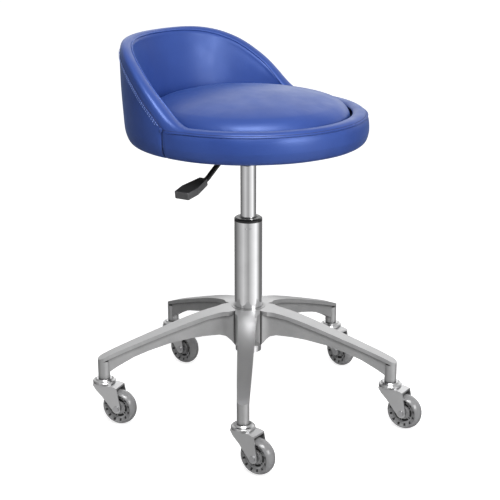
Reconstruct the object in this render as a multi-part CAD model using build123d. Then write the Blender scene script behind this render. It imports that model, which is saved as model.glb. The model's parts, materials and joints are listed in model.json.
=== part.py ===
"""Round low-back dentist stool on a five-star caster base, with a gas lift.

Millimetres. +Z is up, the origin is on the floor under the column's axis, and the
sitter faces -Y, so the back rest is on the +Y side and the lift lever is on the
sitter's right, along -X.
"""
import math
import os
from build123d import *

# ---------------------------------------------------------------- driving sizes
# Seat
SEAT_R = 209.0            # outer radius of the upholstered ring
SEAT_BOTTOM = 497.5       # underside of ring, board and back rest
RING_TOP = 551.0          # top of the ring's roll
RING_WIDEST = 525.0       # height where the roll is widest
CREASE_R = 179.0          # where the ring meets the cushion
CREASE_Z = 545.0
CUSHION_R = 177.0
CUSHION_TOP = 589.0
CUSHION_SHOULDER = (150.0, 18.0)  # radius, and drop below the crown
BOARD_R = 188.0
BOARD_T = 15.0
GAP = 0.3                 # between upholstered pieces

# Back rest
BACK_TOP = 671.0
BACK_OUTER_LOW_R = 213.5
BACK_OUTER_TOP_R = 220.0  # the shell leans outward as it rises
BACK_INNER_LOW_R = 180.0
BACK_INNER_TOP_R = 197.0
BACK_LEAN_START = 533.0   # height where the lean begins
BACK_END_ANGLE = 79.0     # half span of the back rest about +Y, degrees
BACK_END_Y = 31.0         # where its sloping edge meets the ring
BACK_SLOPE_END = (119.0, 645.0)   # top of the straight slope, as (y, z)
BACK_SHOULDER = (153.0, 662.5)
BACK_LEVEL_Y = 198.0      # the top edge is level behind this
BACK_EDGE_ROUND = 10.0
FRAME_INNER = 10.0        # padding inside the moulded plywood shell
FRAME_OUTER = 9.0         # padding outside it
FRAME_MARGIN = 12.0       # padding wrapped round the shell's edge
SPLIT_DEPTH = 14.0        # inner pad's thickness, the seam between the two pads
SCREW_ANGLES = (-60, -36, -12, 12, 36, 60)
SCREW_Z = SEAT_BOTTOM + 9

# Gas spring and column
TUBE_R = 25.0
TUBE_WALL = 1.6
TUBE_BOTTOM = 107.5
TUBE_TOP = 352.0
TAPER_R = 23.4            # the tube's foot is a slight cone, held in the hub
COLLAR_TOP = 358.0
BUSH_LENGTH = 55.0
CYL_R = 14.0
CYL_BORE = 12.0
CYL_BOTTOM = 240.0
CYL_TOP = 472.0
CYL_CONE_R = 13.2
ROD_R = 5.0
PISTON_Z = 300.0
RUNNING = 0.05            # radial clearance of running fits
PIN_R = 4.0
PIN_TOP = 478.2
VALVE_DEPTH = 34.0        # closed head of the cylinder, bored for the release pin
CLIP_R = 9.0
GROOVE_R = 3.8
BALLS = 10

# Seat mechanism and lever
SOCKET_BOTTOM = 455.5
SOCKET_R = 19.0
HOUSING = (92.0, 56.0)    # pressed box under the plate, x by y
HOUSING_BOTTOM = 461.5
PLATE_SIZE = 180.0
PLATE_T = 3.0
PLATE_BOTTOM = SEAT_BOTTOM - PLATE_T
STEEL_T = 2.5
BOLT_PITCH = 140.0
BOLT_R = 4.0
BOLT_HEAD_T = 5.5
NUT_R = 5.0
LEVER_Z = 482.9
LEVER_R = 4.5
LEVER_PIVOT_X = -38.0
LEVER_PIN_R = 3.0
LEVER_BEND_X = -80.0      # first bend, down and out from under the seat
LEVER_LOW = (-134.0, 455.0)       # second bend, as (x, z)
LEVER_BEND_RADIUS = 30.0
PADDLE_SLOPE = 8.5        # degrees below horizontal
PADDLE_START = 9.0        # along the paddle's axis, from the second bend
PADDLE_LENGTH = 68.0
PADDLE_T = 13.0
PADDLE_ROOT_W = 15.5
PADDLE_W = 32.0
PADDLE_WIDE_AT = 0.62     # share of the paddle's length where it is widest
PADDLE_TIP_W = 27.0

# Base
LEGS = 5
FIRST_LEG = 65.2          # degrees from +X
STEM_RADIUS = 266.7       # caster stems from the column's axis
HUB_TOP = 197.0
HUB_BOTTOM = 124.5
HUB_R = 28.0
LEG_HALF_HUB = 19.0
LEG_HALF_TIP = 10.5
LEG_TOP = ((30, 192.0), (80, 184.6), (150, 164.0), (230, 137.0), (262, 125.0))
TIP_TOP = 117.5
ARCH = ((258, 94), (244, 102.5), (214, 117.8), (188, 127), (150, 137.5), (112, 143.5), (84, 145.5),
        (58, 145.5), (46, 142), (37, 134), (30, HUB_BOTTOM))
POST_BOTTOM = 82.3
POST_R = 10.5
FLANGE_T = 7.0
WEB_INSET = 3.8
LEG_WALL = 4.5
CROTCH_FILLET = 25.0

# Casters
WHEEL_R = 31.75
WHEEL_W = 24.0
TRAIL = 30.0
STEM_R = 5.5
SOCKET_BORE = 6.3
SOCKET_TOP = 111.0
CAP_R = 20.3
CAP_TOP = 82.1
CAP_BOTTOM = 74.2
FORK_TOP = 73.6
FORK_T = 2.0
FORK_W = 31.0
FORK_END_R = 8.5
FORK_FRONT = 15.5         # front edge of the fork, ahead of its stem
FORK_REAR = 1.5           # rear lip, behind the axle
AXLE_R = 3.0
CORE_R = 19.5
LUG_R = 24.0
LUGS = 12
BEARING_R = 7.5
BEARING_EDGE = 8.6        # outer face of each bearing from the wheel's middle
HEADINGS = (-99.0, -82.0, -95.0, -92.0, -109.0)  # each caster's trailing direction, legs in order

PARTS = {}


# ---------------------------------------------------------------- helpers
def at(r, z):
    """Point of a turned profile."""
    return (r, 0, z)


def turned(points, arc=360.0, start=0.0):
    """Solid of revolution about Z from a closed (radius, height) outline."""
    face = make_face(Polyline(*[at(r, z) for r, z in points], close=True))
    return Rot(0, 0, start) * revolve(face, Axis.Z, revolution_arc=arc)


def tube(outer, inner, bottom, top):
    """Straight ring about Z."""
    return turned([(inner, bottom), (outer, bottom), (outer, top), (inner, top)])


def rod(radius, bottom, top):
    """Straight round bar about Z."""
    return Pos(0, 0, (bottom + top) / 2) * Cylinder(radius, top - bottom)


def across(radius, low, high, x=0.0, z=0.0):
    """Round bar along Y."""
    bar = Rot(90, 0, 0) * Cylinder(radius, high - low)
    return Pos(x, (low + high) / 2, z) * bar


def solids_of(shape):
    """All solids of a shape, as a flat list."""
    return list(shape.solids())


def keep(name, *shapes):
    """File one node's solids."""
    PARTS[name] = Compound(children=[s for shape in shapes for s in solids_of(shape)])


# ---------------------------------------------------------------- seat
def seat_board():
    disc = rod(BOARD_R, SEAT_BOTTOM, SEAT_BOTTOM + BOARD_T)
    half = BOLT_PITCH / 2
    for x in (-half, half):
        for y in (-half, half):
            disc -= Pos(x, y, 0) * rod(NUT_R, SEAT_BOTTOM, SEAT_BOTTOM + BOARD_T)
    keep("seat_board", disc)


def seat_cushion():
    """Domed cushion on the board, standing out of the ring."""
    bottom = SEAT_BOTTOM + BOARD_T + GAP
    edge_z = CREASE_Z + 6
    shoulder_r, drop = CUSHION_SHOULDER
    crown_r = (shoulder_r ** 2 + drop ** 2) / (2 * drop)
    half_r = shoulder_r / 2
    half_drop = crown_r - math.sqrt(crown_r ** 2 - half_r ** 2)
    shoulder = at(shoulder_r, CUSHION_TOP - drop)
    face = make_face([
        Line(at(0, bottom), at(CUSHION_R, bottom)),
        Line(at(CUSHION_R, bottom), at(CUSHION_R, edge_z)),
        ThreePointArc(at(CUSHION_R, edge_z), at(168, CUSHION_TOP - drop - 7), shoulder),
        ThreePointArc(shoulder, at(half_r, CUSHION_TOP - half_drop), at(0, CUSHION_TOP)),
        Line(at(0, CUSHION_TOP), at(0, bottom)),
    ])
    keep("seat_cushion", revolve(face, Axis.Z))


def seat_ring():
    """The roll round the front of the seat, between the back rest's two ends."""
    board_top = SEAT_BOTTOM + BOARD_T + GAP
    crown = at(195, RING_TOP)
    wall_low = at(SEAT_R - 0.7, SEAT_BOTTOM + 16)
    face = make_face([
        Line(at(BOARD_R + GAP, SEAT_BOTTOM), at(SEAT_R - 11, SEAT_BOTTOM)),
        ThreePointArc(at(SEAT_R - 11, SEAT_BOTTOM), at(SEAT_R - 3.5, SEAT_BOTTOM + 5.5), wall_low),
        Line(wall_low, at(SEAT_R, RING_WIDEST)),
        ThreePointArc(at(SEAT_R, RING_WIDEST), at(SEAT_R - 3.2, RING_TOP - 9), crown),
        ThreePointArc(crown, at(186, RING_TOP - 1.6), at(CREASE_R, CREASE_Z)),
        Line(at(CREASE_R, CREASE_Z), at(CREASE_R, board_top)),
        Line(at(CREASE_R, board_top), at(BOARD_R + GAP, board_top)),
        Line(at(BOARD_R + GAP, board_top), at(BOARD_R + GAP, SEAT_BOTTOM)),
    ])
    arc = 360 - 2 * BACK_END_ANGLE - 0.2
    start = 90 + BACK_END_ANGLE + 0.1
    keep("seat_ring", Rot(0, 0, start) * revolve(face, Axis.Z, revolution_arc=arc))


def lean(low_r, top_r, z):
    """Radius of a leaning wall at height z."""
    share = max(0.0, (z - BACK_LEAN_START) / (BACK_TOP - BACK_LEAN_START))
    return low_r + (top_r - low_r) * share


def back_section(inner_shift, outer_shift, bottom, top):
    """Cross-section of the back shell, leaning out with height, as an (r, z) outline."""
    heights = (bottom, BACK_LEAN_START, top)
    inner = [(lean(BACK_INNER_LOW_R, BACK_INNER_TOP_R, z) + inner_shift, z) for z in heights]
    outer = [(lean(BACK_OUTER_LOW_R, BACK_OUTER_TOP_R, z) - outer_shift, z) for z in reversed(heights)]
    return inner + outer


def back_outline(inset):
    """Side view of the back rest: a straight slope that rounds over into the level top."""
    level = BACK_TOP - inset
    far = BACK_OUTER_TOP_R + 40
    low = SEAT_BOTTOM - 15
    start = (0, BACK_END_Y + inset, RING_TOP - 4)
    slope_end = (0, BACK_SLOPE_END[0] + 0.7 * inset, BACK_SLOPE_END[1] - 0.7 * inset)
    shoulder = (0, BACK_SHOULDER[0] + 0.4 * inset, BACK_SHOULDER[1] - 0.9 * inset)
    level_start = (0, BACK_LEVEL_Y, level)
    edges = [
        Line(start, slope_end),
        ThreePointArc(slope_end, shoulder, level_start),
        Line(level_start, (0, far, level)),
        Line((0, far, level), (0, far, low)),
        Line((0, far, low), (0, start[1], low)),
        Line((0, start[1], low), start),
    ]
    return extrude(make_face(edges), amount=far, dir=(1, 0, 0), both=True)


def lower_corner(inset):
    """Ring that rounds off the bottom outer edge of the back."""
    wall = BACK_OUTER_LOW_R - inset
    return turned([(wall - 15.5, SEAT_BOTTOM - 1), (wall + 10, SEAT_BOTTOM - 1),
                   (wall + 10, BACK_LEAN_START - 5), (wall, BACK_LEAN_START - 5),
                   (wall - 3, SEAT_BOTTOM + 19), (wall - 8.5, SEAT_BOTTOM + 6)])


def back_rest():
    """Moulded shell with a pad on its inner and its outer side, wrapped over its edge."""
    span = 2 * BACK_END_ANGLE
    start = 90 - BACK_END_ANGLE
    board_edge = tube(BOARD_R + GAP, 100, SEAT_BOTTOM - 5, SEAT_BOTTOM + BOARD_T + GAP)
    whole = turned(back_section(0, 0, SEAT_BOTTOM, BACK_TOP), span, start) & back_outline(0)
    top_edges = [e for e in whole.edges() if e.center().Z > RING_TOP + 20 and e.length > 60]
    whole = fillet(top_edges, BACK_EDGE_ROUND)
    whole = whole - board_edge - lower_corner(0)
    frame_span = span - 8
    frame = turned(back_section(FRAME_INNER, FRAME_OUTER, SEAT_BOTTOM + 2, BACK_TOP),
                   frame_span, start + 4)
    frame = (frame & back_outline(FRAME_MARGIN)) - board_edge - lower_corner(5)
    split = turned(back_section(SPLIT_DEPTH, -30, SEAT_BOTTOM - 5, BACK_TOP + 5))
    keep("back_frame", frame)
    keep("back_outer_pad", (whole & split) - frame)
    keep("back_inner_pad", (whole - split) - frame)


def back_screws():
    """Wood screws through the shell's foot into the edge of the seat board."""
    head_r = BACK_OUTER_LOW_R - FRAME_OUTER
    tip = BOARD_R - 24
    profile = [(0, tip), (2, tip), (2, head_r - 3), (4, head_r - 1), (4, head_r), (0, head_r)]
    screw = Rot(0, 90, 0) * turned(profile)
    screws = [Rot(0, 0, 90 + angle) * Pos(0, 0, SCREW_Z) * screw for angle in SCREW_ANGLES]
    for node in ("seat_board", "back_frame", "back_inner_pad", "back_outer_pad"):
        keep(node, Part() + PARTS[node].solids() - screws)
    keep("back_screws", *screws)


def dust_cover():
    cover = rod(BOARD_R - 4, SEAT_BOTTOM - 1.3, SEAT_BOTTOM - GAP)
    opening = Pos(0, 0, SEAT_BOTTOM) * Box(PLATE_SIZE + 2, PLATE_SIZE + 2, 10)
    keep("dust_cover", cover - opening)


# ---------------------------------------------------------------- seat mechanism
def seat_plate():
    """Bolted plate with a pressed box below it and the cone socket for the gas spring."""
    plate = Pos(0, 0, PLATE_BOTTOM + PLATE_T / 2) * Box(PLATE_SIZE, PLATE_SIZE, PLATE_T)
    plate = fillet(plate.edges().filter_by(Axis.Z), 14)
    slot = Pos(-4, 0, PLATE_BOTTOM) * Box(HOUSING[0] - 12, 34, 20)
    half = BOLT_PITCH / 2
    hole_r = BOLT_R + 0.4
    holes = [Pos(x, y, PLATE_BOTTOM) * Cylinder(hole_r, 20) for x in (-half, half) for y in (-half, half)]
    height = PLATE_BOTTOM - HOUSING_BOTTOM
    box = Pos(0, 0, HOUSING_BOTTOM + height / 2) * Box(HOUSING[0], HOUSING[1], height)
    box = fillet(box.edges().filter_by(Axis.Z), 6)
    inside = Pos(0, 0, HOUSING_BOTTOM + STEEL_T + height / 2)
    box -= inside * Box(HOUSING[0] - 2 * STEEL_T, HOUSING[1] - 2 * STEEL_T, height)
    lever_slot = Pos(-HOUSING[0] / 2, 0, LEVER_Z) * Box(12, 2 * LEVER_R + 2, 2 * LEVER_R + 9)
    socket = turned([(CYL_CONE_R + 0.2, CYL_TOP), (SOCKET_R, CYL_TOP), (SOCKET_R, SOCKET_BOTTOM),
                     (CYL_R + RUNNING, SOCKET_BOTTOM)])
    bore = rod(SOCKET_R - 0.5, HOUSING_BOTTOM - 1, HOUSING_BOTTOM + STEEL_T + 1)
    ears = [Pos(LEVER_PIVOT_X, side * 11, HOUSING_BOTTOM + height / 2) * Box(14, STEEL_T, height)
            for side in (-1, 1)]
    pivot = across(LEVER_PIN_R, -14, 14, LEVER_PIVOT_X, LEVER_Z)
    shape = plate - slot - holes
    shape += (box - lever_slot - bore) + socket + ears
    keep("seat_plate", shape - pivot)
    keep("lever_pivot_pin", pivot)


def plate_fasteners():
    """Four hexagon bolts up through the plate into tee nuts sunk in the board."""
    half = BOLT_PITCH / 2
    bolts, nuts = [], []
    board_top = SEAT_BOTTOM + BOARD_T
    head = extrude(RegularPolygon(6.5, 6, major_radius=False), amount=BOLT_HEAD_T)
    bolt = Pos(0, 0, PLATE_BOTTOM - BOLT_HEAD_T) * head + rod(BOLT_R, PLATE_BOTTOM, board_top - 0.5)
    barrel = tube(NUT_R, BOLT_R, SEAT_BOTTOM + 3, board_top - 0.2)
    for x in (-half, half):
        for y in (-half, half):
            bolts.append(Pos(x, y, 0) * bolt)
            nuts.append(Pos(x, y, 0) * barrel)
    keep("plate_bolts", *bolts)
    keep("tee_nuts", *nuts)


def gas_spring():
    """Chrome cylinder with its rod guide, and inside it the rod and piston that stay down."""
    head_floor = CYL_TOP - VALVE_DEPTH
    pin_bore = PIN_R + RUNNING
    shell = turned([(CYL_BORE, CYL_BOTTOM), (CYL_R, CYL_BOTTOM), (CYL_R, SOCKET_BOTTOM),
                    (CYL_CONE_R, CYL_TOP), (pin_bore, CYL_TOP), (pin_bore, head_floor),
                    (CYL_BORE, head_floor)])
    keep("gas_cylinder", shell)
    keep("rod_guide", tube(CYL_BORE, ROD_R + RUNNING, CYL_BOTTOM + 1, CYL_BOTTOM + 13))
    keep("piston", tube(CYL_BORE - RUNNING, ROD_R, PISTON_Z, PISTON_Z + 16))
    groove = tube(ROD_R + 1, GROOVE_R, TUBE_BOTTOM - 2.3, TUBE_BOTTOM - 0.8)
    keep("piston_rod", rod(ROD_R, TUBE_BOTTOM - 5, PISTON_Z + 18) - groove)
    keep("rod_clip", tube(CLIP_R, GROOVE_R, TUBE_BOTTOM - 2.2, TUBE_BOTTOM - 0.9))
    pin = turned([(0, head_floor + 4), (PIN_R, head_floor + 4), (PIN_R, PIN_TOP - 1.2),
                  (PIN_R - 2, PIN_TOP), (0, PIN_TOP)])
    keep("release_pin", pin)


def lever():
    """Round steel lever that rocks on its pin, with a flat paddle on the outer end."""
    down = math.radians(PADDLE_SLOPE)
    along = (-math.cos(down), 0, -math.sin(down))
    low = (LEVER_LOW[0], 0, LEVER_LOW[1])
    inside = PADDLE_START + 30
    end = tuple(a + inside * b for a, b in zip(low, along))
    inner_end = (LEVER_R + 1, 0, LEVER_Z)
    path = FilletPolyline(inner_end, (LEVER_BEND_X, 0, LEVER_Z), low, end, radius=LEVER_BEND_RADIUS)
    bar = sweep(Plane(inner_end, z_dir=(-1, 0, 0)) * Circle(LEVER_R), path)
    bar -= across(LEVER_PIN_R + RUNNING, -20, 20, LEVER_PIVOT_X, LEVER_Z)
    half_root, half_wide, half_tip = PADDLE_ROOT_W / 2, PADDLE_W / 2, PADDLE_TIP_W / 2
    wide_at = PADDLE_START + PADDLE_WIDE_AT * PADDLE_LENGTH
    run = PADDLE_START + PADDLE_LENGTH
    outline = Polyline((PADDLE_START, -half_root), (wide_at, -half_wide), (run, -half_tip),
                       (run, half_tip), (wide_at, half_wide), (PADDLE_START, half_root), close=True)
    paddle = extrude(make_face(outline), amount=PADDLE_T / 2, both=True)
    paddle = fillet(paddle.edges().filter_by(Axis.Z), 2.5)
    paddle = fillet(paddle.faces().filter_by(Axis.Z).edges(), 1.6)
    paddle = Plane(low, x_dir=along, z_dir=(-math.sin(down), 0, math.cos(down))) * paddle
    keep("lever_rod", bar)
    keep("lever_handle", paddle - bar)


# ---------------------------------------------------------------- column
def column():
    inner = TUBE_R - TUBE_WALL
    foot = TUBE_BOTTOM + 3
    shell = turned([(TAPER_R, TUBE_BOTTOM), (TUBE_R, HUB_TOP), (TUBE_R, TUBE_TOP), (inner, TUBE_TOP),
                    (inner, HUB_TOP), (TAPER_R - TUBE_WALL, foot), (ROD_R + RUNNING, foot),
                    (ROD_R + RUNNING, TUBE_BOTTOM)])
    keep("column_tube", shell)
    bush_r = inner - RUNNING
    bush = turned([(CYL_R + RUNNING, TUBE_TOP - BUSH_LENGTH), (bush_r, TUBE_TOP - BUSH_LENGTH),
                   (bush_r, TUBE_TOP + GAP), (TUBE_R, TUBE_TOP + GAP), (TUBE_R, COLLAR_TOP - 2),
                   (TUBE_R - 2.5, COLLAR_TOP), (CYL_R + RUNNING + 2, COLLAR_TOP),
                   (CYL_R + RUNNING, COLLAR_TOP - 2)])
    keep("guide_bush", bush)
    race_t, ball_r = 1.6, 2.0
    race_r = 19.0
    low_top = foot + race_t
    keep("bearing_lower_race", tube(race_r, ROD_R + 1, foot, low_top))
    ball_z = low_top + ball_r + 0.1
    balls = [Rot(0, 0, i * 360 / BALLS) * Pos(12.5, 0, ball_z) * Sphere(ball_r) for i in range(BALLS)]
    keep("bearing_balls", *balls)
    upper = ball_z + ball_r + 0.3
    keep("bearing_upper_race", tube(race_r, ROD_R, upper, upper + race_t))
    keep("bump_stop", tube(11.0, ROD_R, upper + race_t, upper + race_t + 12))


# ---------------------------------------------------------------- star base
def leg_side(drop, bottom_points):
    """Side view of one leg from its top curve, lowered by drop, to its bottom outline."""
    tops = LEG_TOP + ((STEM_RADIUS + POST_R + 1, TIP_TOP),)
    top = [(r, 0, z - drop) for r, z in tops]
    edges = [Line((0, 0, top[0][2]), top[0]), Spline(*top)]
    chain = [top[-1]] + [(r, 0, z) for r, z in bottom_points] + [(0, 0, top[0][2])]
    edges += [Line(a, b) for a, b in zip(chain, chain[1:])]
    return extrude(make_face(edges), amount=LEG_HALF_HUB + 3, dir=(0, 1, 0), both=True)


def leg_plan(inset, tip_r):
    """Plan outline of one leg, with a round tip at the caster post, as a tall prism."""
    hub, tip = LEG_HALF_HUB - inset, LEG_HALF_TIP - inset
    outline = make_face(Polyline((0, -hub), (STEM_RADIUS, -tip), (STEM_RADIUS, tip), (0, hub), close=True))
    outline += Pos(STEM_RADIUS, 0) * Circle(tip_r)
    return extrude(outline, amount=HUB_TOP + 20)


def all_round(shape):
    """One leg's solid repeated for every leg."""
    whole = Part()
    for i in range(LEGS):
        whole += Rot(0, 0, i * 360 / LEGS) * shape
    return whole


def star(inset, tip_r):
    """All legs' plan outlines as one prism, with rounded inner corners."""
    whole = all_round(leg_plan(inset, tip_r))
    crotch = [e for e in whole.edges().filter_by(Axis.Z)
              if math.hypot(e.center().X, e.center().Y) < 50]
    return fillet(crotch, CROTCH_FILLET)


def star_base():
    """Cast star: crowned top flange, narrower web arching below, hub and caster posts."""
    tops = LEG_TOP + ((STEM_RADIUS + POST_R + 1, TIP_TOP),)
    flange_bottom = [(r, z - FLANGE_T) for r, z in reversed(tops)]
    flange_bottom += [(0, LEG_TOP[0][1] - FLANGE_T)]
    flange = all_round(leg_side(0, flange_bottom)) & star(0, LEG_HALF_TIP)
    foot = POST_BOTTOM + 6
    arch = ((STEM_RADIUS + POST_R, foot), (STEM_RADIUS - POST_R + 1, foot)) + ARCH + ((0, HUB_BOTTOM),)
    web = all_round(leg_side(FLANGE_T - 1, arch)) & star(WEB_INSET, LEG_HALF_TIP - WEB_INSET)
    crown = LEG_TOP[0][1] + 0.6
    hub = turned([(0, HUB_BOTTOM), (HUB_R, HUB_BOTTOM), (HUB_R + 4, crown - 8), (HUB_R + 2, crown),
                  (0, crown)])
    base = flange + web + hub - all_round(leg_pocket())
    for i in range(LEGS):
        place = Rot(0, 0, i * 360 / LEGS) * Pos(STEM_RADIUS, 0, 0)
        base += place * rod(POST_R, POST_BOTTOM, TIP_TOP - 3)
        base -= place * rod(SOCKET_BORE, POST_BOTTOM - 1, SOCKET_TOP + 1)
    fit = 0.05
    base -= turned([(0, TUBE_BOTTOM - 5), (TAPER_R + fit, TUBE_BOTTOM - 5), (TAPER_R + fit, TUBE_BOTTOM),
                    (TUBE_R + fit, HUB_TOP), (TUBE_R + fit, HUB_TOP + 5), (0, HUB_TOP + 5)])
    keep("star_base", Rot(0, 0, FIRST_LEG) * base)


def leg_pocket():
    """Open channel cast into the underside of a leg, from the hub's wall to the post."""
    near, far = 84, STEM_RADIUS - 22
    below = 60
    side = leg_side(FLANGE_T + 1, [(far + 40, below), (near, below), (0, below)])
    reach = Pos((near + far) / 2, 0, HUB_TOP / 2) * Box(far - near, HUB_R * 2, HUB_TOP)
    return side & reach & leg_plan(WEB_INSET + LEG_WALL, 1.0)


# ---------------------------------------------------------------- casters
def at_leg(index, heading, shape):
    """Place a caster piece, built about its own stem with the wheel along +X."""
    angle = math.radians(FIRST_LEG + index * 360 / LEGS)
    place = Pos(STEM_RADIUS * math.cos(angle), STEM_RADIUS * math.sin(angle), 0)
    return place * Rot(0, 0, heading) * shape


def caster_fixed_pieces():
    """Stems pressed into the posts, their grip rings, the caps and the swivel ball rings."""
    stem = rod(STEM_R, FORK_TOP - 6, SOCKET_TOP)
    stem += rod(8.0, FORK_TOP - 6.5, FORK_TOP - FORK_T - 0.3)
    ring = tube(SOCKET_BORE, STEM_R, SOCKET_TOP - 15, SOCKET_TOP - 5)
    shell = turned([(STEM_R, CAP_TOP - 1.6), (13.0, CAP_TOP - 1.6), (15.0, CAP_TOP - 3.6),
                    (18.5, CAP_TOP - 5.0), (18.5, CAP_BOTTOM), (CAP_R, CAP_BOTTOM), (CAP_R, CAP_TOP - 5.0),
                    (CAP_R - 1.2, CAP_TOP - 3.4), (16.2, CAP_TOP - 2.2), (14.0, CAP_TOP),
                    (STEM_R, CAP_TOP)])
    torus = Pos(0, 0, FORK_TOP + 4.6) * Torus(12.5, 1.9)
    nodes = {"caster_stems": stem, "grip_rings": ring, "caster_caps": shell, "swivel_ball_rings": torus}
    for name, shape in nodes.items():
        keep(name, *[at_leg(i, 0, shape) for i in range(LEGS)])


def fork():
    """Pressed steel fork: a level top, a rear lip and two cheeks that narrow to the axle."""
    rear_x = TRAIL + FORK_REAR
    side = make_face(Polyline((-FORK_FRONT, 0, FORK_TOP), (rear_x - 12, 0, FORK_TOP),
                              (rear_x, 0, FORK_TOP - 3.0), (TRAIL + FORK_END_R, 0, WHEEL_R + 4),
                              (TRAIL, 0, WHEEL_R - 2), (TRAIL - 0.9 * FORK_END_R, 0, WHEEL_R - 3),
                              (2, 0, WHEEL_R + 20), (-9.5, 0, FORK_TOP - 11.5),
                              (-FORK_FRONT, 0, FORK_TOP - 3), close=True))
    outer = extrude(side, amount=FORK_W / 2, dir=(0, 1, 0), both=True)
    outer += across(FORK_END_R, -FORK_W / 2, FORK_W / 2, TRAIL, WHEEL_R)
    shoulder = [e for e in outer.edges().filter_by(Axis.X) if e.center().Z > FORK_TOP - 0.1]
    outer = fillet(shoulder, 3.0)
    ceiling = FORK_TOP - FORK_T
    hollow = make_face(Polyline((-40, 0, ceiling), (rear_x - 12.5, 0, ceiling),
                                (rear_x, 0, ceiling - 3.6), (rear_x + 20, 0, ceiling - 9),
                                (rear_x + 20, 0, 5), (-40, 0, 5), close=True))
    inside = extrude(hollow, amount=FORK_W / 2 - FORK_T, dir=(0, 1, 0), both=True)
    dish = turned([(8.5, FORK_TOP - 0.5), (17.0, FORK_TOP - 0.5), (17.0, FORK_TOP + 1.0),
                   (15.0, FORK_TOP + 2.2), (9.5, FORK_TOP + 2.2)])
    shape = outer - inside + dish
    shape -= rod(STEM_R + 0.06, FORK_TOP - 10, FORK_TOP + 10)
    shape -= across(AXLE_R, -FORK_W, FORK_W, TRAIL, WHEEL_R)
    return shape


def axle():
    """Axle screw with a round head on one side and a nut on the other."""
    half = FORK_W / 2
    nut_t = 3.2
    bolt = across(AXLE_R, -half - 1, half + nut_t + 1, TRAIL, WHEEL_R)
    bolt += across(5.2, -half - 2.8, -half, TRAIL, WHEEL_R)
    nut = Rot(90, 0, 0) * extrude(RegularPolygon(4.8, 6, major_radius=False), amount=nut_t)
    return [bolt, Pos(TRAIL, half + nut_t, WHEEL_R) * nut - bolt]


def wheel():
    """Pierced core with lugs, moulded tyre and two ball bearings, about the axle."""
    half = WHEEL_W / 2
    rim_half, web_half = 8.5, 6.5
    hole_r = 15.0
    profile = [(BEARING_R, rim_half), (11.0, rim_half), (12.0, web_half), (17.8, web_half),
               (CORE_R, rim_half)]
    core = turned(profile + [(r, -y) for r, y in reversed(profile)])
    for i in range(5):
        slot = SlotArc(CenterArc((0, 0), hole_r, i * 72 - 18, 36), 4.2)
        core -= extrude(slot, amount=WHEEL_W, both=True)
        core -= Rot(0, 0, i * 72 + 36) * Pos(hole_r, 0, 0) * Cylinder(1.8, WHEEL_W)
    lug = Pos((CORE_R + LUG_R) / 2 - 0.5, 0, 0) * Box(LUG_R - CORE_R + 1, 4.2, half)
    for i in range(LUGS):
        core += Rot(0, 0, i * 360 / LUGS) * lug
    tread = make_face([
        Line(at(CORE_R, -rim_half), at(24, -half + 1.0)),
        Line(at(24, -half + 1.0), at(26, -half)),
        ThreePointArc(at(26, -half), at(WHEEL_R, 0), at(26, half)),
        Line(at(26, half), at(24, half - 1.0)),
        Line(at(24, half - 1.0), at(CORE_R, rim_half)),
        Line(at(CORE_R, rim_half), at(CORE_R, -rim_half)),
    ])
    tyre = revolve(tread, Axis.Z) - core
    bearing = tube(BEARING_R, AXLE_R + RUNNING, BEARING_EDGE - 5, BEARING_EDGE)
    bearings = [bearing, mirror(bearing, about=Plane.XY)]
    place = Pos(TRAIL, 0, WHEEL_R) * Rot(90, 0, 0)
    return place * core, place * tyre, [place * b for b in bearings]


def casters():
    caster_fixed_pieces()
    fork_shape, axle_shapes = fork(), axle()
    core, tyre, bearings = wheel()
    for i in range(LEGS):
        number = i + 1
        heading = HEADINGS[i]
        keep(f"fork_{number}", at_leg(i, heading, fork_shape))
        keep(f"axle_{number}", *[at_leg(i, heading, s) for s in axle_shapes])
        keep(f"wheel_core_{number}", at_leg(i, heading, core))
        keep(f"tyre_{number}", at_leg(i, heading, tyre))
        keep(f"wheel_bearings_{number}", *[at_leg(i, heading, s) for s in bearings])


# ---------------------------------------------------------------- build
seat_board()
seat_cushion()
seat_ring()
back_rest()
back_screws()
dust_cover()
seat_plate()
plate_fasteners()
gas_spring()
lever()
column()
star_base()
casters()

os.makedirs("parts", exist_ok=True)
for name, shape in PARTS.items():
    export_step(shape, f"parts/{name}.step")
print(len(PARTS), "nodes")
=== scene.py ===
"""Looks of the round low-back stool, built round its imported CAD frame."""
import json
import math
import bmesh
import bpy
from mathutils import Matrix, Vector, noise


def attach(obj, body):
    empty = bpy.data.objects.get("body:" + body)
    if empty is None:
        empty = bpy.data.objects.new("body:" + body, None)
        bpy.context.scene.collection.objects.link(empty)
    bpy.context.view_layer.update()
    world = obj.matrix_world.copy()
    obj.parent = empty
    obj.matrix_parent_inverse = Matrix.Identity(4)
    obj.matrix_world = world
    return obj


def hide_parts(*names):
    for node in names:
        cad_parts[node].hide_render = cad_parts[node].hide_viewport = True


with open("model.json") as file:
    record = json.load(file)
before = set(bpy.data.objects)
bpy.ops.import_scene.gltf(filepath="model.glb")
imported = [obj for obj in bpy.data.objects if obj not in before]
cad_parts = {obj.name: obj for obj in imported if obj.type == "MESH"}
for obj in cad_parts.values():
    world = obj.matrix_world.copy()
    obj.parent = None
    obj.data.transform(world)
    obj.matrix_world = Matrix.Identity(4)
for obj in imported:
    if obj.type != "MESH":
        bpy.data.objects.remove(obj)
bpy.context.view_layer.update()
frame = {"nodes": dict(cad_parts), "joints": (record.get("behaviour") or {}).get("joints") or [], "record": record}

MM = 0.001
scene = bpy.context.scene
nodes = frame["nodes"]

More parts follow.
